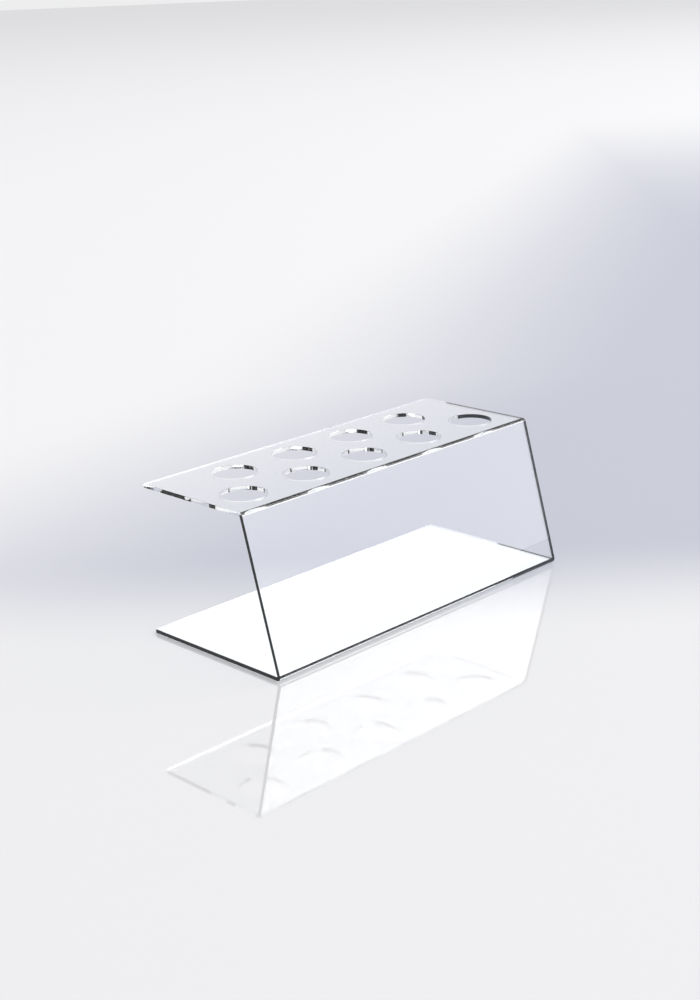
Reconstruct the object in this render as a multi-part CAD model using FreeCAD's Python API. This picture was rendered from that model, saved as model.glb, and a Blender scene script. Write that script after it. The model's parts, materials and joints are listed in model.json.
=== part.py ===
"""Clear counter stand with nine round holes, made from one acrylic sheet bent twice.

The sheet runs back to front as the base, turns up into a riser that leans back over the base, and turns
back again into a shelf with two staggered rows of holes. Each panel and each bend is a solid of its own,
and neighbours meet face to face.

Millimetres. +X runs along the stand's length, +Y from its front to its back, +Z up. The origin is on the
counter, at the middle of the bounding box.
"""
import FreeCAD, Part
import math
import os

# Sheet
SHEET_LENGTH = 300.0
SHEET_THICKNESS = 3.0
BEND_OUTER_RADIUS = 3.5

# Profile, measured on the sheet's outer faces to the sharp corners that the bends round off
STAND_HEIGHT = 115.0
BASE_DEPTH = 136.0
SHELF_DEPTH = 106.0
RISER_LEAN_DEG = 15.0

# Holes in the shelf
HOLE_DIAMETER = 34.0
HOLE_PITCH = 60.0
FRONT_ROW_COUNT = 5
BACK_ROW_COUNT = 4
FRONT_ROW_SETBACK = 32.0
ROW_SPACING = 44.0

# Worked out from the driving dimensions
LEAN = math.radians(RISER_LEAN_DEG)
BEND_INNER_RADIUS = BEND_OUTER_RADIUS - SHEET_THICKNESS
LOWER_TURN = math.pi / 2 + LEAN
UPPER_TURN = math.pi / 2 - LEAN
LOWER_SETBACK = BEND_OUTER_RADIUS * math.tan(LOWER_TURN / 2)
UPPER_SETBACK = BEND_OUTER_RADIUS * math.tan(UPPER_TURN / 2)
RISER_TOP_SHIFT = STAND_HEIGHT * math.tan(LEAN)
FOREMOST_POINT = LOWER_SETBACK - BEND_OUTER_RADIUS
REARMOST_POINT = max(BASE_DEPTH, RISER_TOP_SHIFT + SHELF_DEPTH)
DEPTH_MIDDLE = (FOREMOST_POINT + REARMOST_POINT) / 2


def profile_point(depth, height):
    """A point of the side profile, at the stand's left end. Depth runs back from the lower sharp corner."""
    return FreeCAD.Vector(-SHEET_LENGTH / 2, depth - DEPTH_MIDDLE, height)


def along_length(wire):
    """The closed profile wire as a solid over the whole length."""
    return Part.Face(wire).extrude(FreeCAD.Vector(SHEET_LENGTH, 0, 0))


def flat_panel(start, end, inward):
    """A flat stretch of sheet. Start and end are on its outer face; inward points to its inner face."""
    step = inward * SHEET_THICKNESS
    return along_length(Part.makePolygon([start, end, end + step, start + step, start]))


def bend_strip(centre, start_angle, end_angle):
    """A bent stretch of sheet about centre. Angles are in the profile plane, from +Y towards +Z."""
    def on_circle(radius, angle):
        return centre + FreeCAD.Vector(0, math.cos(angle), math.sin(angle)) * radius

    middle_angle = (start_angle + end_angle) / 2
    outer_start = on_circle(BEND_OUTER_RADIUS, start_angle)
    outer_end = on_circle(BEND_OUTER_RADIUS, end_angle)
    inner_start = on_circle(BEND_INNER_RADIUS, start_angle)
    inner_end = on_circle(BEND_INNER_RADIUS, end_angle)
    outer_arc = Part.Arc(outer_start, on_circle(BEND_OUTER_RADIUS, middle_angle), outer_end)
    inner_arc = Part.Arc(inner_end, on_circle(BEND_INNER_RADIUS, middle_angle), inner_start)
    edges = [
        outer_arc.toShape(),
        Part.makeLine(outer_end, inner_end),
        inner_arc.toShape(),
        Part.makeLine(inner_start, outer_start),
    ]
    return along_length(Part.Wire(edges))


# Directions in the profile plane
UP = FreeCAD.Vector(0, 0, 1)
DOWN = FreeCAD.Vector(0, 0, -1)
BACK = FreeCAD.Vector(0, 1, 0)
UP_RISER = FreeCAD.Vector(0, math.sin(LEAN), math.cos(LEAN))
INTO_RISER = FreeCAD.Vector(0, math.cos(LEAN), -math.sin(LEAN))
RISER_FACE_ANGLE = math.pi - LEAN

# Sharp corners of the outer faces
LOWER_CORNER = profile_point(0, 0)
UPPER_CORNER = profile_point(RISER_TOP_SHIFT, STAND_HEIGHT)


def make_base_plate():
    """The flat base, from the lower bend to its back edge, with its underside on the counter."""
    return flat_panel(LOWER_CORNER + BACK * LOWER_SETBACK, profile_point(BASE_DEPTH, 0), UP)


def make_lower_bend():
    """The bend at the base's front edge, from the underside round to the riser's front face."""
    centre = LOWER_CORNER + BACK * LOWER_SETBACK + UP * BEND_OUTER_RADIUS
    return bend_strip(centre, 1.5 * math.pi, RISER_FACE_ANGLE)


def make_riser_panel():
    """The leaning front panel between the two bends."""
    start = LOWER_CORNER + UP_RISER * LOWER_SETBACK
    end = UPPER_CORNER - UP_RISER * UPPER_SETBACK
    return flat_panel(start, end, INTO_RISER)


def make_upper_bend():
    """The bend at the riser's top, from its front face round to the shelf's top face."""
    centre = UPPER_CORNER + BACK * UPPER_SETBACK + DOWN * BEND_OUTER_RADIUS
    return bend_strip(centre, RISER_FACE_ANGLE, math.pi / 2)


def hole_centres():
    """The centres of the holes on the shelf's top face: the front row and the staggered back row."""
    centres = []
    for row, count in enumerate((FRONT_ROW_COUNT, BACK_ROW_COUNT)):
        setback = FRONT_ROW_SETBACK + row * ROW_SPACING
        for index in range(count):
            sideways = (index - (count - 1) / 2) * HOLE_PITCH
            centres.append(FreeCAD.Vector(sideways, UPPER_CORNER.y + setback, STAND_HEIGHT))
    return centres


def make_hole_shelf():
    """The flat shelf behind the upper bend, with its holes cut square through."""
    start = UPPER_CORNER + BACK * UPPER_SETBACK
    end = UPPER_CORNER + BACK * SHELF_DEPTH
    shelf = flat_panel(start, end, DOWN)
    cutters = [
        Part.makeCylinder(HOLE_DIAMETER / 2, 3 * SHEET_THICKNESS, centre + UP * SHEET_THICKNESS, DOWN)
        for centre in hole_centres()
    ]
    return shelf.cut(Part.makeCompound(cutters)).Solids[0]


NODES = {
    "base_plate": make_base_plate,
    "lower_bend": make_lower_bend,
    "riser_panel": make_riser_panel,
    "upper_bend": make_upper_bend,
    "hole_shelf": make_hole_shelf,
}


def export_nodes():
    """Writes one STEP file for each node, and prints each solid's box as a check."""
    os.makedirs("parts", exist_ok=True)
    for name, make in NODES.items():
        shape = make()
        shape.exportStep(f"parts/{name}.step")
        print(f"{name}: {len(shape.Solids)} solid, volume {shape.Volume:.1f}, valid {shape.isValid()}")
        print(f"  {shape.BoundBox}")


export_nodes()
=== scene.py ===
"""Visual model of a clear stand: one acrylic sheet, bent twice, with nine holes in its shelf."""
import json
import logging
import math
from collections.abc import Sequence
from dataclasses import dataclass, field
from enum import Enum

import bpy
from mathutils import Matrix, Vector
from mathutils.geometry import tessellate_polygon


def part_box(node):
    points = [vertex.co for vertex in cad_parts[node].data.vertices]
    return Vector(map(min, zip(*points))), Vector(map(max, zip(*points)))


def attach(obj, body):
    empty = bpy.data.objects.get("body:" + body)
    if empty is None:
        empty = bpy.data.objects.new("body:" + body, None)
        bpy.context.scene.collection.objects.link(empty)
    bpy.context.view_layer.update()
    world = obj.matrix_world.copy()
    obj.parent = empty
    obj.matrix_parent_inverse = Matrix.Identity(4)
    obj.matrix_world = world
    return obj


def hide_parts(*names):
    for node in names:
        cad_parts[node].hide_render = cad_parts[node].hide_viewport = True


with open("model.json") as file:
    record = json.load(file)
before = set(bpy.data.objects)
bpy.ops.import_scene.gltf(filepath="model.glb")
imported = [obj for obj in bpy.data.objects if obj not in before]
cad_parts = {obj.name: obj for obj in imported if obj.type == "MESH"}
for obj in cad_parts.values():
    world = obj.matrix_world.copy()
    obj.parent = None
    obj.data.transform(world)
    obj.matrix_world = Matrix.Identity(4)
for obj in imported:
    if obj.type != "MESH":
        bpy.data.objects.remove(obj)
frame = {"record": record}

LOG = logging.getLogger("stand")
Colour = tuple[float, float, float]
Span = tuple[float, float]
ACROSS = Vector((1.0, 0.0, 0.0))
BACK = Vector((0.0, 1.0, 0.0))
UP = Vector((0.0, 0.0, 1.0))


class Skin(Enum):
    """Which surface of the sheet a face belongs to; the value is its material slot."""

    FACE = 0
    EDGE = 1
    BORE = 2
    JOIN = 3


class Field:
    """A shader value or vector with arithmetic, made of Math and Vector Math nodes."""

    def __init__(self, tree: "Tree", socket: bpy.types.NodeSocket) -> None:
        """Wraps one output socket of the tree."""
        self.tree = tree
        self.socket = socket

    def _maths(self, operation: str, *values: "Field | float") -> "Field":
        """Returns the result of a Math node on the values."""
        inputs = dict(enumerate(values))
        return self.tree.node("ShaderNodeMath", {"operation": operation}, inputs)[0]

    def __add__(self, other: "Field | float") -> "Field":
        """Returns self + other."""
        return self._maths("ADD", self, other)

    def __radd__(self, other: float) -> "Field":
        """Returns other + self."""
        return self._maths("ADD", other, self)

    def __sub__(self, other: "Field | float") -> "Field":
        """Returns self - other."""
        return self._maths("SUBTRACT", self, other)

    def __rsub__(self, other: float) -> "Field":
        """Returns other - self."""
        return self._maths("SUBTRACT", other, self)

    def __mul__(self, other: "Field | float") -> "Field":
        """Returns self * other."""
        return self._maths("MULTIPLY", self, other)

    def __rmul__(self, other: float) -> "Field":
        """Returns other * self."""
        return self._maths("MULTIPLY", other, self)

    def highest(self, other: "Field | float") -> "Field":
        """Returns the larger of self and other."""
        return self._maths("MAXIMUM", self, other)

    def lowest(self, other: "Field | float") -> "Field":
        """Returns the smaller of self and other."""
        return self._maths("MINIMUM", self, other)

    def step(self, start: float, end: float) -> "Field":
        """Returns a smooth step from 0 at start to 1 at end; start may be the larger one."""
        settings = {"interpolation_type": "SMOOTHSTEP"}
        inputs = {"Value": self, "From Min": start, "From Max": end}
        return self.tree.node("ShaderNodeMapRange", settings, inputs)["Result"]

    def between(self, low: float, high: float) -> "Field":
        """Returns self, as 0 to 1, spread from low to high."""
        return self * (high - low) + low

    def dot(self, vector: Sequence[float]) -> "Field":
        """Returns the dot product with a constant vector."""
        settings = {"operation": "DOT_PRODUCT"}
        inputs = {0: self, 1: tuple(vector)}
        return self.tree.node("ShaderNodeVectorMath", settings, inputs)["Value"]

    def tint(self, first: Colour, second: Colour) -> "Field":
        """Returns a colour from first, where self is 0, to second, where it is 1."""
        settings = {"data_type": "RGBA"}
        inputs = {0: self, 6: (*first, 1.0), 7: (*second, 1.0)}
        return self.tree.node("ShaderNodeMix", settings, inputs)[2]


class Outputs:
    """The output sockets of one node, by name or by number."""

    def __init__(self, tree: "Tree", node: bpy.types.Node) -> None:
        """Keeps the node and its tree."""
        self.tree = tree
        self.node = node

    def __getitem__(self, key: str | int) -> Field:
        """Returns one output as a Field."""
        return Field(self.tree, self.node.outputs[key])


class Tree:
    """A node tree that is filled through one method."""

    def __init__(self, owner: bpy.types.Material | bpy.types.World) -> None:
        """Empties the owner's node tree and keeps it."""
        owner.use_nodes = True
        self.nodes = owner.node_tree.nodes
        self.links = owner.node_tree.links
        self.nodes.clear()

    def node(
        self,
        kind: str,
        settings: dict[str, object] | None = None,
        inputs: dict[str | int, object] | None = None,
    ) -> Outputs:
        """Adds a node.

        Args:
            kind: The node's type name.
            settings: Attributes to set on it.
            inputs: Values or Fields for its input sockets, by name or number.

        Returns:
            The node's outputs.
        """
        made = self.nodes.new(kind)
        for name, value in (settings or {}).items():
            setattr(made, name, value)
        for key, value in (inputs or {}).items():
            if isinstance(value, Field):
                self.links.new(value.socket, made.inputs[key])
            else:
                made.inputs[key].default_value = value
        return Outputs(self, made)

    def place(self) -> Field:
        """Returns the shaded point's place in the row frame, in metres."""
        return self.node("ShaderNodeTexCoord")["Object"]

    def noise(self, scale: float, detail: float = 3.0, stretch: Colour = (1.0, 1.0, 1.0)) -> Field:
        """Returns noise from 0 to 1.

        Args:
            scale: Cells per metre.
            detail: Octaves.
            stretch: Extra scale along each axis.

        Returns:
            The noise.
        """
        settings = {"operation": "MULTIPLY"}
        inputs = {0: self.place(), 1: stretch}
        point = self.node("ShaderNodeVectorMath", settings, inputs)[0]
        fed = {"Vector": point, "Scale": scale, "Detail": detail}
        return self.node("ShaderNodeTexNoise", None, fed)[0]

    def mix(self, share: Field, first: Field, second: Field) -> Field:
        """Returns a mix of two shaders, second where share is 1."""
        return self.node("ShaderNodeMixShader", None, {0: share, 1: first, 2: second})[0]

    def bump(self, height: Field, strength: float, distance: float) -> Field:
        """Returns a normal raised by height."""
        inputs = {"Height": height, "Strength": strength, "Distance": distance}
        return self.node("ShaderNodeBump", None, inputs)["Normal"]

    def clear(self, shade: Colour) -> Field:
        """Returns a see-through shader that tints what is behind it."""
        return self.node("ShaderNodeBsdfTransparent", None, {0: (*shade, 1.0)})[0]

    def pass_light(self, body: Field, shade: Colour) -> Field:
        """Returns body as seen, but tinted air to shadow and diffuse rays.

        Args:
            body: The shader that the eye and mirror images get.
            shade: Share of each colour that gets through to light the surroundings.

        Returns:
            The mixed shader.
        """
        path = self.node("ShaderNodeLightPath")
        soft = path["Is Shadow Ray"].highest(path["Is Diffuse Ray"])
        return self.mix(soft, body, self.clear(shade))

    def output(self, surface: Field, kind: str = "ShaderNodeOutputMaterial") -> None:
        """Sets the surface output."""
        self.node(kind, None, {"Surface": surface})


def new_material(name: str) -> tuple[bpy.types.Material, Tree]:
    """Returns a new material and its emptied tree."""
    made = bpy.data.materials.new(name)
    return made, Tree(made)


def scaled(colour: Colour, share: float) -> Colour:
    """Returns the colour with each channel times share."""
    red, green, blue = colour
    return red * share, green * share, blue * share


@dataclass(frozen=True)
class ClearFace:
    """Polished broad faces of the acrylic, with faint wiping marks and a trace of haze."""

    name: str = "clear_acrylic_face"
    colour: Colour = (0.975, 0.985, 0.995)
    shade: Colour = (0.95, 0.962, 0.975)
    reflection_paint: Colour = (0.02, 0.021, 0.026)
    index: float = 1.49
    polish: float = 0.002
    wipe_scale: float = 26.0
    wipe_stretch: Colour = (1.0, 5.0, 5.0)
    wipe_band: Span = (0.5, 0.8)
    wipe_haze: float = 0.012
    wipe_fade: float = 0.995
    dust_scale: float = 420.0
    dust_band: Span = (0.66, 0.74)
    dust_haze: float = 0.02
    wave_scale: float = 16.0
    wave_strength: float = 0.02
    wave_height: float = 0.002
    reflection_paint_spread: float = 1.6
    reflection_paint_specular: float = 0.3
    reflection_paint_rough: Span = (0.1, 0.25)

    def _painted_reflection(self, tree: Tree) -> Field | None:
        """Returns the share of painted reflection, which is dark, or None where the face is clear
        all over.
        """
        return None

    def build(self) -> bpy.types.Material:
        """Returns the material."""
        made, tree = new_material(self.name)
        wipes = tree.noise(self.wipe_scale, 4.0, self.wipe_stretch)
        dust = tree.noise(self.dust_scale, 2.0)
        haze = wipes.step(*self.wipe_band) * self.wipe_haze
        haze = haze + dust.step(*self.dust_band) * self.dust_haze
        waves = tree.noise(self.wave_scale, 1.0)
        inputs = {
            "Base Color": wipes.tint(self.colour, scaled(self.colour, self.wipe_fade)),
            "Roughness": haze + self.polish,
            "IOR": self.index,
            "Transmission Weight": 1.0,
            "Normal": tree.bump(waves, self.wave_strength, self.wave_height),
        }
        body = tree.node("ShaderNodeBsdfPrincipled", None, inputs)[0]
        # Painted reflection: subclasses mix in a dark shader by place, standing in for dark
        # reflections.
        painted_reflection = self._painted_reflection(tree)
        if painted_reflection is not None:
            inputs = {
                "Base Color": dust.tint(self.reflection_paint, scaled(self.reflection_paint, self.reflection_paint_spread)),
                "Roughness": wipes.between(*self.reflection_paint_rough),
                "Specular IOR Level": self.reflection_paint_specular,
            }
            dark = tree.node("ShaderNodeBsdfPrincipled", None, inputs)[0]
            body = tree.mix(painted_reflection, body, dark)
        tree.output(tree.pass_light(body, self.shade))
        return made


@dataclass(frozen=True)
class EndRimFace(ClearFace):
    """A broad face with a painted reflection: a narrow strip painted dark along its right-hand
    end.
    """

    name: str = "riser_rim_face"
    start: float = 0.1486
    until: float = 1.0
    side_fade: float = 0.0002
    back_fade: float = 0.0008

    def _painted_reflection(self, tree: Tree) -> Field:
        """Returns 1 in the strip, from start across the sheet and as far back as until."""
        place = tree.place()
        across = place.dot(ACROSS).step(self.start, self.start + self.side_fade)
        return across * place.dot(BACK).step(self.until + self.back_fade, self.until)


@dataclass(frozen=True)
class BendFace(ClearFace):
    """The lower bend's face, with a painted reflection: its foot painted dark near the right-hand
    corner.
    """

    name: str = "lower_bend_face"
    start: float = 0.097
    height: float = 0.0034
    side_fade: float = 0.002
    rise_fade: float = 0.0004

    def _painted_reflection(self, tree: Tree) -> Field:
        """Returns 1 in the painted reflection at the foot, from start across the sheet and up to
        height.
        """
        place = tree.place()
        across = place.dot(ACROSS).step(self.start, self.start + self.side_fade)
        return across * place.dot(UP).step(self.height, self.height - self.rise_fade)


@dataclass(frozen=True)
class CutEdge:
    """Polished cut edge: clear, with a painted reflection, a length painted dark at the sheet's
    right-hand end.
    """

    name: str = "clear_cut_edge"
    colour: Colour = (0.97, 0.98, 0.985)
    worn: Colour = (0.94, 0.955, 0.965)
    reflection_paint: Colour = (0.018, 0.019, 0.024)
    shade: Colour = (0.5, 0.51, 0.53)
    painted_reflection_to: float = 1.0
    end: float = 0.15
    painted_reflection: bool = True
    index: float = 1.49
    polish: float = 0.004
    grain_scale: float = 900.0
    grain_stretch: Colour = (1.0, 1.0, 0.08)
    grain_strength: float = 0.02
    grain_height: float = 0.0001
    nick_scale: float = 260.0
    nick_band: Span = (0.6, 0.75)
    nick_haze: float = 0.03
    reflection_paint_spread: float = 1.6
    reflection_paint_specular: float = 0.2
    reflection_paint_rough: Span = (0.2, 0.4)
    side_fade: float = 0.0005
    back_fade: float = 0.0008

    def _painted_reflection(self, tree: Tree) -> Field:
        """Returns the share of painted reflection, a dark length at the right-hand end, by the
        place on the sheet alone.
        """
        place = tree.place()
        start = self.end - 2 * self.side_fade
        across = place.dot(ACROSS).step(start, self.end - self.side_fade)
        return across * place.dot(BACK).step(self.painted_reflection_to + self.back_fade, self.painted_reflection_to)

    def build(self) -> bpy.types.Material:
        """Returns the material."""
        made, tree = new_material(self.name)
        grain = tree.noise(self.grain_scale, 2.0, self.grain_stretch)
        nicks = tree.noise(self.nick_scale, 3.0)
        inputs = {
            "Base Color": nicks.tint(self.colour, self.worn),
            "Roughness": nicks.step(*self.nick_band) * self.nick_haze + self.polish,
            "IOR": self.index,
            "Transmission Weight": 1.0,
            "Normal": tree.bump(grain, self.grain_strength, self.grain_height),
        }
        body = tree.node("ShaderNodeBsdfPrincipled", None, inputs)[0]
        # Painted reflection: a dark shader, mixed in by place, stands in for dark reflections at
        # the right-hand end.
        if self.painted_reflection:
            inputs = {
                "Base Color": nicks.tint(self.reflection_paint, scaled(self.reflection_paint, self.reflection_paint_spread)),
                "Roughness": grain.between(*self.reflection_paint_rough),
                "Specular IOR Level": self.reflection_paint_specular,
            }
            dark = tree.node("ShaderNodeBsdfPrincipled", None, inputs)[0]
            body = tree.mix(self._painted_reflection(tree), body, dark)
        tree.output(tree.pass_light(body, self.shade))
        return made


@dataclass(frozen=True)
class ThroughJoin:
    """The unseen plane where two named lengths of the one sheet meet."""

    name: str = "sheet_join"

    def build(self) -> bpy.types.Material:
        """Returns the material."""
        made, tree = new_material(self.name)
        tree.output(tree.clear((1.0, 1.0, 1.0)))
        return made


@dataclass(frozen=True)
class Rim:
    """One point of an outline, which draws in towards its anchor as the edge rounds over.

    The point is anchor + (reach - inset) * out, in the sheet's own plane.
    """

    anchor: tuple[float, float]
    reach: float
    out: tuple[float, float]
    skin: Skin = Skin.EDGE

    def at(self, inset: float) -> tuple[float, float]:
        """Returns the point drawn in by inset."""
        pull = self.reach - inset
        return self.anchor[0] + pull * self.out[0], self.anchor[1] + pull * self.out[1]


@dataclass
class Shell:
    """Points, normals and faces of a closed mesh on their way to Blender."""

    points: list[Vector] = field(default_factory=list)
    normals: list[Vector] = field(default_factory=list)
    faces: list[tuple[int, ...]] = field(default_factory=list)
    skins: list[Skin] = field(default_factory=list)

    def point(self, place: Vector, normal: Vector) -> int:
        """Adds a point and returns its number."""
        self.points.append(place)
        self.normals.append(normal.normalized())
        return len(self.points) - 1

    def face(self, corners: Sequence[int], skin: Skin) -> None:
        """Adds a face."""
        self.faces.append(tuple(corners))
        self.skins.append(skin)

    def to_object(self, name: str, materials: Sequence[bpy.types.Material]) -> bpy.types.Object:
        """Makes the Blender object.

        Args:
            name: Name of the piece.
            materials: One material for each Skin, in order.

        Returns:
            The linked object.
        """
        mesh = bpy.data.meshes.new(name)
        mesh.from_pydata(self.points, [], self.faces)
        for material in materials:
            mesh.materials.append(material)
        mesh.polygons.foreach_set("material_index", [s.value for s in self.skins])
        mesh.polygons.foreach_set("use_smooth", [True] * len(self.faces))
        mesh.update()
        mesh.normals_split_custom_set_from_vertices(self.normals)
        made = bpy.data.objects.new(name, mesh)
        bpy.context.collection.objects.link(made)
        return made


@dataclass(frozen=True)
class Sheet:
    """The bent sheet's profile, taken from the boxes of three of the five CAD nodes."""

    left: float
    right: float
    thickness: float
    outer_radius: float
    lower_centre: Vector
    upper_centre: Vector
    base_end: float
    shelf_end: float
    easing: float = 0.00015
    corner: float = 0.0006
    easing_steps: int = 5

    @classmethod
    def from_frame(cls) -> "Sheet":
        """Reads the profile from the CAD nodes."""
        base_low, base_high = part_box("base_plate")
        bend_low, bend_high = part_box("lower_bend")
        shelf_low, shelf_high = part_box("hole_shelf")
        radius = bend_high.y - bend_low.y
        return cls(
            left=base_low.x,
            right=base_high.x,
            thickness=base_high.z - base_low.z,
            outer_radius=radius,
            lower_centre=Vector((0.0, base_low.y, base_low.z + radius)),
            upper_centre=Vector((0.0, shelf_low.y, shelf_high.z - radius)),
            base_end=base_high.y,
            shelf_end=shelf_high.y,
        )

    @property
    def inner_radius(self) -> float:
        """Radius of a bend's inner face."""
        return self.outer_radius - self.thickness

    @property
    def riser_turn(self) -> float:
        """Angle turned from the base to the riser, in radians."""
        rise = self.upper_centre - self.lower_centre
        return math.pi / 2 + math.atan2(rise.y, rise.z)

    @staticmethod
    def outward(turn: float) -> Vector:
        """Returns the outward normal after a turn from the base."""
        return Vector((0.0, -math.sin(turn), -math.cos(turn)))

    @staticmethod
    def along(turn: float) -> Vector:
        """Returns the direction of the sheet's run after a turn from the base."""
        return Vector((0.0, -math.cos(turn), math.sin(turn)))

    def layers(self) -> list[tuple[float, float, float]]:
        """Returns (inset, height, tilt) across the thickness, with both edges eased."""
        rows = []
        steps = self.easing_steps
        for half in (-1, 1):
            for k in range(steps + 1):
                tilt = (k / steps - 1 if half < 0 else k / steps) * math.pi / 2
                inset = self.easing * (1 - math.cos(tilt))
                lift = self.easing * (1 - abs(math.sin(tilt)))
                rows.append((inset, lift if half < 0 else self.thickness - lift, tilt))
        return rows


@dataclass
class FlatRun:
    """A flat length of the sheet, with optional holes, as one closed piece."""

    node: str
    sheet: Sheet
    start: Vector
    turn: float
    length: float
    free_start: bool = False
    free_end: bool = False
    holes: tuple[tuple[float, float, float], ...] = ()
    hole_steps: int = 128
    corner_steps: int = 6

    def _corner(self, x: float, s: float, free: bool, start_angle: float) -> list[Rim]:
        """Returns the outline's points at one corner.

        Args:
            x: The corner's place across the sheet.
            s: The corner's place along the run.
            free: Whether the run ends here with a cut edge.
            start_angle: Direction of the edge normal that the corner starts from.

        Returns:
            The points, counter-clockwise.
        """
        side = -1.0 if x < 0 else 1.0
        if not free:
            joined = Skin.JOIN if (x < 0) == (s < self.length / 2) else Skin.EDGE
            return [Rim((x, s), 0.0, (side, 0.0), joined)]
        radius = self.sheet.corner
        end = -1.0 if s < self.length / 2 else 1.0
        centre = (x - side * radius, s - end * radius)
        made = []
        for k in range(self.corner_steps + 1):
            angle = start_angle + math.pi / 2 * k / self.corner_steps
            made.append(Rim(centre, radius, (math.cos(angle), math.sin(angle))))
        return made

    def _outline(self) -> list[Rim]:
        """Returns the outer outline, counter-clockwise."""
        left, right, end = self.sheet.left, self.sheet.right, self.length
        points = self._corner(left, 0.0, self.free_start, math.pi)
        points += self._corner(right, 0.0, self.free_start, -math.pi / 2)
        points += self._corner(right, end, self.free_end, 0.0)
        points += self._corner(left, end, self.free_end, math.pi / 2)
        return points

    def _hole(self, x: float, s: float, radius: float) -> list[Rim]:
        """Returns a hole's outline, clockwise."""
        made = []
        for k in range(self.hole_steps):
            angle = -2 * math.pi * k / self.hole_steps
            out = (-math.cos(angle), -math.sin(angle))
            made.append(Rim((x, s), -radius, out, Skin.BORE))
        return made

    def build(self) -> Shell:
        """Returns the closed mesh of this run."""
        shell = Shell()
        run = self.sheet.along(self.turn)
        out = self.sheet.outward(self.turn)
        loops = [self._outline(), *(self._hole(*hole) for hole in self.holes)]
        layers = self.sheet.layers()
        bottoms: list[int] = []
        tops: list[int] = []
        flat: list[list[Vector]] = []
        for loop in loops:
            rows = []
            for inset, height, tilt in layers:
                row = []
                for rim in loop:
                    x, s = rim.at(inset)
                    place = self.start + ACROSS * x + run * s + out * height
                    side = ACROSS * rim.out[0] + run * rim.out[1]
                    normal = side * math.cos(tilt) + out * math.sin(tilt)
                    row.append(shell.point(place, normal))
                rows.append(row)
            count = len(loop)
            for low, high in zip(rows, rows[1:]):
                for i, rim in enumerate(loop):
                    j = (i + 1) % count
                    shell.face((low[i], low[j], high[j], high[i]), rim.skin)
            bottoms += rows[0]
            tops += rows[-1]
            flat.append([Vector((*rim.at(layers[0][0]), 0.0)) for rim in loop])
        spots = [spot for loop in flat for spot in loop]
        for a, b, c in tessellate_polygon(flat):
            if (spots[b] - spots[a]).cross(spots[c] - spots[a]).z < 0:
                b, c = c, b
            shell.face((tops[a], tops[b], tops[c]), Skin.FACE)
            shell.face((bottoms[a], bottoms[c], bottoms[b]), Skin.FACE)
        return shell


@dataclass
class BendRun:
    """A heat-formed bend between two flat lengths, as one closed piece."""

    node: str
    sheet: Sheet
    centre: Vector
    first_turn: float
    last_turn: float
    steps: int = 56
    spans: int = 40

    def _section(self) -> list[tuple[float, float, float, float, Skin]]:
        """Returns (x, height, x normal, height normal, skin) round the sheet's section."""
        left, right = self.sheet.left, self.sheet.right
        layers = self.sheet.layers()
        points = []
        edge = [Skin.EDGE] * (len(layers) - 1) + [Skin.FACE]
        for skin, (inset, height, tilt) in zip(edge, reversed(layers)):
            points.append((left + inset, height, -math.cos(tilt), math.sin(tilt), skin))
        inset = layers[0][0]
        for k in range(1, self.spans):
            x = left + inset + (right - left - 2 * inset) * k / self.spans
            points.append((x, 0.0, 0.0, -1.0, Skin.FACE))
        for skin, (inset, height, tilt) in zip(edge, layers):
            points.append((right - inset, height, math.cos(tilt), math.sin(tilt), skin))
        inset = layers[-1][0]
        for k in range(1, self.spans):
            x = right - inset - (right - left - 2 * inset) * k / self.spans
            points.append((x, self.sheet.thickness, 0.0, 1.0, Skin.FACE))
        return points

    def build(self) -> Shell:
        """Returns the closed mesh of this bend."""
        shell = Shell()
        section = self._section()
        rows = []
        for k in range(self.steps + 1):
            turn = self.first_turn + (self.last_turn - self.first_turn) * k / self.steps
            out = self.sheet.outward(turn)
            row = []
            for x, height, side, up, _ in section:
                radius = self.sheet.inner_radius + height
                place = self.centre + out * radius + ACROSS * x
                row.append(shell.point(place, ACROSS * side + out * up))
            rows.append(row)
        count = len(section)
        for low, high in zip(rows, rows[1:]):
            for i, entry in enumerate(section):
                j = (i + 1) % count
                shell.face((low[i], high[i], high[j], low[j]), entry[4])
        shell.face(rows[0], Skin.JOIN)
        shell.face(rows[-1][::-1], Skin.JOIN)
        return shell


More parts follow.
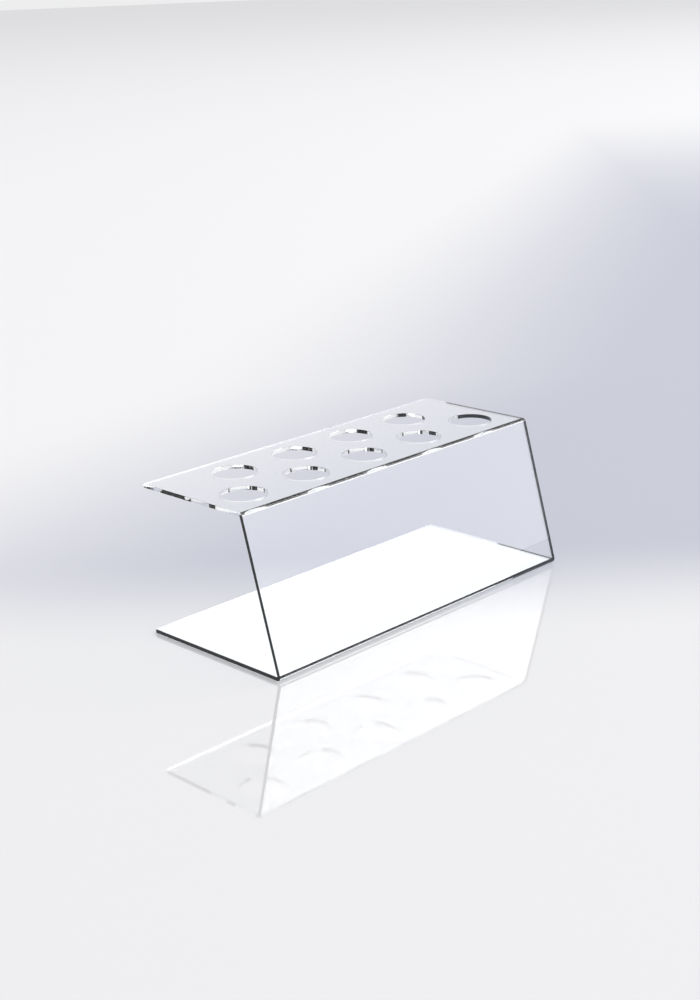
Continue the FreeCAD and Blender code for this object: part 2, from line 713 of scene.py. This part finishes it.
@dataclass
class Stand:
    """The whole stand: five lengths of one sheet, from the base's free edge to the shelf's.

    The dark values say how far back the painted reflections at the right-hand ends go, and how
    wide their strips on the broad faces are.
    """

    sheet: Sheet
    base_dark_to: float = -0.008
    shelf_dark_to: float = 0.045
    base_strip: float = 0.001
    riser_strip: float = 0.0014
    shelf_strip: float = 0.0008

    def _holes(self) -> tuple[tuple[float, float, float], ...]:
        """Returns (x, distance along the shelf, radius) of each hole from the record's mounts."""
        made = []
        for mount in frame["record"]["mounts"]:
            if "_hole_" not in mount["name"]:
                continue
            x, y, _ = mount["pos_m"]
            radius = mount["dims"]["r_mm"] / 1000
            made.append((x, y - self.sheet.upper_centre.y, radius))
        return tuple(made)

    def _runs(self) -> list[FlatRun | BendRun]:
        """Returns the five lengths in order along the sheet."""
        sheet = self.sheet
        lean = sheet.riser_turn
        inner = sheet.inner_radius
        low, high = sheet.lower_centre, sheet.upper_centre
        base_length = sheet.base_end - low.y
        base_start = Vector((0.0, sheet.base_end, low.z - inner))
        riser_start = low + sheet.outward(lean) * inner
        shelf_start = high + sheet.outward(math.pi) * inner
        return [
            FlatRun("base_plate", sheet, base_start, 0.0, base_length, free_start=True),
            BendRun("lower_bend", sheet, low, 0.0, lean),
            FlatRun("riser_panel", sheet, riser_start, lean, (high - low).length),
            BendRun("upper_bend", sheet, high, lean, math.pi),
            FlatRun(
                "hole_shelf",
                sheet,
                shelf_start,
                math.pi,
                sheet.shelf_end - high.y,
                free_end=True,
                holes=self._holes(),
            ),
        ]

    def build(self) -> list[tuple[str, Shell]]:
        """Returns the closed mesh of each length, by the name of its CAD node."""
        return [(run.node, run.build()) for run in self._runs()]

    def dress(self) -> None:
        """Makes the five pieces, with their finishes, and lets each stand for its CAD node."""
        right = self.sheet.right
        face = ClearFace().build()
        join = ThroughJoin().build()
        bore = CutEdge("bore_wall", painted_reflection=False).build()
        plain = CutEdge(end=right).build()
        # Painted reflections: dark lengths at the right-hand end of every cut edge and of the
        # base, riser and shelf faces, and a dark foot on the lower bend.
        base_edge = CutEdge("base_cut_edge", painted_reflection_to=self.base_dark_to, end=right)
        shelf_edge = CutEdge("shelf_cut_edge", painted_reflection_to=self.shelf_dark_to, end=right)
        base_start, shelf_start = right - self.base_strip, right - self.shelf_strip
        base_face = EndRimFace("base_face", start=base_start, until=self.base_dark_to)
        shelf_face = EndRimFace("shelf_face", start=shelf_start, until=self.shelf_dark_to)
        edges = {"base_plate": base_edge.build(), "hole_shelf": shelf_edge.build()}
        faces = {
            "base_plate": base_face.build(),
            "lower_bend": BendFace().build(),
            "riser_panel": EndRimFace(start=right - self.riser_strip).build(),
            "hole_shelf": shelf_face.build(),
        }
        for node, shell in self.build():
            skins = [faces.get(node, face), edges.get(node, plain), bore, join]
            piece = shell.to_object(f"acrylic_{node}", skins)
            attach(piece, "root")
            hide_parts(node)
            LOG.info("%s: %d faces", piece.name, len(shell.faces))


@dataclass(frozen=True)
class GradedFloor:
    """The floor's paint, which isn't plain: painted shade, from pale to a darker blue-grey in
    fixed directions.

    Depth runs level along a given heading and side runs to its right, both in metres from the
    stand. The painted shade is darkest behind the stand and to the right, where it stands in
    for light falling off, and the floor is glossy only in front.
    """

    name: str = "studio_floor"
    front: Colour = (0.612, 0.612, 0.62)
    painted_shade: Colour = (0.437, 0.445, 0.503)
    pale: Colour = (0.675, 0.675, 0.68)
    knee: float = 0.68
    far_slope: float = 0.47
    near_slope: float = 0.6
    side_slope: float = 1.6
    side_shift: float = 0.067
    level: float = 0.476
    side_pale: Span = (0.6, 1.3)
    far_pale: Span = (1.5, 4.0)
    front_line: Span = (0.11, -0.09)
    gloss_reach: Span = (0.75, 0.27)
    gloss_pinch: float = 3.0
    index: float = 2.3
    speck_scale: float = 220.0
    speck_rough: Span = (0.02, 0.05)

    def _painted_falloff(self, depth: Field, side: Field) -> Field:
        """Returns how far the painted shade behind the stand gives way to the paler paint, from 0
        to 1.
        """
        past = depth - self.knee
        tone = past * self.far_slope + past.lowest(0.0) * self.near_slope
        tone = tone - (side - self.side_shift) * self.side_slope + self.level
        tone = tone.step(0.0, 1.0)
        return tone.highest(side.step(*self.side_pale)).highest(depth.step(*self.far_pale))

    def build(self, ahead: Vector) -> bpy.types.Material:
        """Returns the material, graded along the level direction ahead."""
        made, tree = new_material(self.name)
        place = tree.place()
        depth = place.dot(ahead)
        side = place.dot((ahead.y, -ahead.x, 0.0))
        # Painted shade: darker blue-grey behind the stand and to its right, standing in for light
        # falling off.
        back = self._painted_falloff(depth, side).tint(self.painted_shade, self.pale)
        near = depth.step(*self.front_line)
        inputs = {0: near, 6: back, 7: (*self.front, 1.0)}
        paint = tree.node("ShaderNodeMix", {"data_type": "RGBA"}, inputs)[2]
        dull = tree.node("ShaderNodeBsdfDiffuse", None, {"Color": paint})[0]
        inputs = {
            "Base Color": paint,
            "Roughness": tree.noise(self.speck_scale, 2.0).between(*self.speck_rough),
            "IOR": self.index,
        }
        gloss = tree.node("ShaderNodeBsdfPrincipled", None, inputs)[0]
        away = depth * depth + side * side * self.gloss_pinch
        around = away.step(*self.gloss_reach)
        tree.output(tree.mix(near * around, dull, gloss))
        return made


@dataclass(frozen=True)
class WhiteCard:
    """Plain white card with a faint grain."""

    name: str = "studio_card"
    white: Colour = (0.97, 0.97, 0.97)
    grain: Colour = (0.96, 0.96, 0.96)
    grain_scale: float = 500.0

    def build(self) -> bpy.types.Material:
        """Returns the material."""
        made, tree = new_material(self.name)
        colour = tree.noise(self.grain_scale, 2.0).tint(self.white, self.grain)
        tree.output(tree.node("ShaderNodeBsdfDiffuse", None, {"Color": colour})[0])
        return made


@dataclass
class Studio:
    """Floor, card, light, surroundings and camera.

    A light path stops after light_bounces, which leaves the sheet's deepest reflections dark.
    """

    sheet: Sheet
    camera_place: Vector = field(default_factory=lambda: Vector((-0.81380, -0.81965, 0.45746)))
    heading: float = math.radians(44.42)
    dip: float = math.radians(18.185)
    roll: float = math.radians(-2.251)
    lens: float = 58.0104
    sensor: float = 36.0
    air_glow: float = 0.93
    sky_lift: float = 0.12
    sky_band: Span = (0.05, 0.7)
    side_lift: float = 0.95
    side_band: Span = (0.78, 0.97)
    side_glow: Vector = field(default_factory=lambda: Vector((0.665, -0.745, 0.09)))
    seen_air: float = 0.85
    key_toward: Vector = field(default_factory=lambda: Vector((0.665, -0.432, 0.610)))
    key_reach: float = 12.0
    key_size: Span = (8.2, 7.4)
    key_glow: float = 4.1
    floor_level: float = -0.0003
    floor_reach: float = 30.0
    floor_sides: int = 96
    card_inset: float = 0.2
    light_bounces: int = 8
    diffuse_bounces: int = 4
    clear_layers: int = 32

    def _ahead(self) -> Vector:
        """Returns the level direction that the camera faces."""
        return Vector((math.sin(self.heading), math.cos(self.heading), 0.0))

    def _flat(self, name: str, outline: Sequence[Vector], material: bpy.types.Material) -> None:
        """Makes a level stage surface from its outline."""
        mesh = bpy.data.meshes.new(name)
        mesh.from_pydata(outline, [], [tuple(range(len(outline)))])
        mesh.materials.append(material)
        made = bpy.data.objects.new(name, mesh)
        bpy.context.collection.objects.link(made)
        LOG.info("%s: stage", name)

    def build(self) -> None:
        """Makes the floor and the white card under the base, a bright sheet that stands in for
        light and makes the clear base look white.
        """
        rim = []
        for k in range(self.floor_sides):
            angle = 2 * math.pi * k / self.floor_sides
            x, y = math.cos(angle), math.sin(angle)
            rim.append(Vector((x * self.floor_reach, y * self.floor_reach, self.floor_level)))
        self._flat("studio_floor", rim, GradedFloor().build(self._ahead()))
        sheet = self.sheet
        front = sheet.lower_centre.y - sheet.outer_radius * self.card_inset
        level = self.floor_level / 2
        corners = (
            (sheet.left, front),
            (sheet.right, front),
            (sheet.right, sheet.base_end),
            (sheet.left, sheet.base_end),
        )
        # Painted light: the white card lies exactly under the base so that the clear base looks
        # bright white.
        card = [Vector((x, y, level)) for x, y in corners]
        self._flat("studio_card", card, WhiteCard().build())

    def light(self) -> None:
        """Makes the surroundings, which look a little darker than they light, and the softbox."""
        world = bpy.data.worlds.new("studio_air")
        bpy.context.scene.world = world
        tree = Tree(world)
        direction = tree.node("ShaderNodeTexCoord")["Generated"]
        rise = direction.dot(UP).step(*self.sky_band)
        side = direction.dot(self.side_glow.normalized()).step(*self.side_band)
        strength = rise * self.sky_lift + self.air_glow + side * self.side_lift
        camera = tree.node("ShaderNodeLightPath")["Is Camera Ray"]
        strength = camera * self.seen_air + (1 - camera) * strength
        inputs = {"Color": (1.0, 1.0, 1.01, 1.0), "Strength": strength}
        shader = tree.node("ShaderNodeBackground", None, inputs)[0]
        tree.output(shader, "ShaderNodeOutputWorld")
        self._softbox("key_softbox")

    def _softbox(self, name: str) -> None:
        """Makes the rectangular soft light, which faces the stand."""
        width, height = self.key_size
        lamp = bpy.data.lights.new(name, "AREA")
        lamp.shape = "RECTANGLE"
        lamp.size, lamp.size_y = width, height
        lamp.energy = self.key_glow * math.pi * width * height
        holder = bpy.data.objects.new(name, lamp)
        aim = self.key_toward.normalized()
        holder.location = aim * self.key_reach
        holder.rotation_euler = aim.to_track_quat("Z", "Y").to_euler()
        holder.visible_camera = False
        bpy.context.collection.objects.link(holder)

    def shoot(self) -> None:
        """Places the camera and sets how light is carried and shown."""
        data = bpy.data.cameras.new("product_camera")
        camera = bpy.data.objects.new("product_camera", data)
        bpy.context.collection.objects.link(camera)
        ahead = self._ahead() * math.cos(self.dip) - UP * math.sin(self.dip)
        level = Vector((math.cos(self.heading), -math.sin(self.heading), 0.0))
        above = level.cross(ahead)
        right = level * math.cos(self.roll) + above * math.sin(self.roll)
        up = above * math.cos(self.roll) - level * math.sin(self.roll)
        turn = Matrix((right, up, -ahead)).transposed().to_4x4()
        camera.matrix_world = Matrix.Translation(self.camera_place) @ turn
        data.sensor_width = self.sensor
        data.lens = self.lens
        data.clip_start = 0.01
        data.clip_end = 100.0
        scene = bpy.context.scene
        scene.camera = camera
        scene.view_settings.view_transform = "Standard"
        scene.view_settings.look = "None"
        scene.cycles.max_bounces = self.light_bounces
        scene.cycles.transmission_bounces = self.light_bounces
        scene.cycles.glossy_bounces = self.light_bounces
        scene.cycles.diffuse_bounces = self.diffuse_bounces
        scene.cycles.transparent_max_bounces = self.clear_layers
        scene.cycles.use_denoising = True


def main() -> None:
    """Builds the stand, then its studio."""
    logging.basicConfig(level=logging.INFO, format="%(message)s")
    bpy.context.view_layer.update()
    sheet = Sheet.from_frame()
    stand = Stand(sheet)
    stand.dress()
    studio = Studio(sheet)
    studio.build()
    studio.light()
    studio.shoot()


if __name__ == "__main__":
    main()
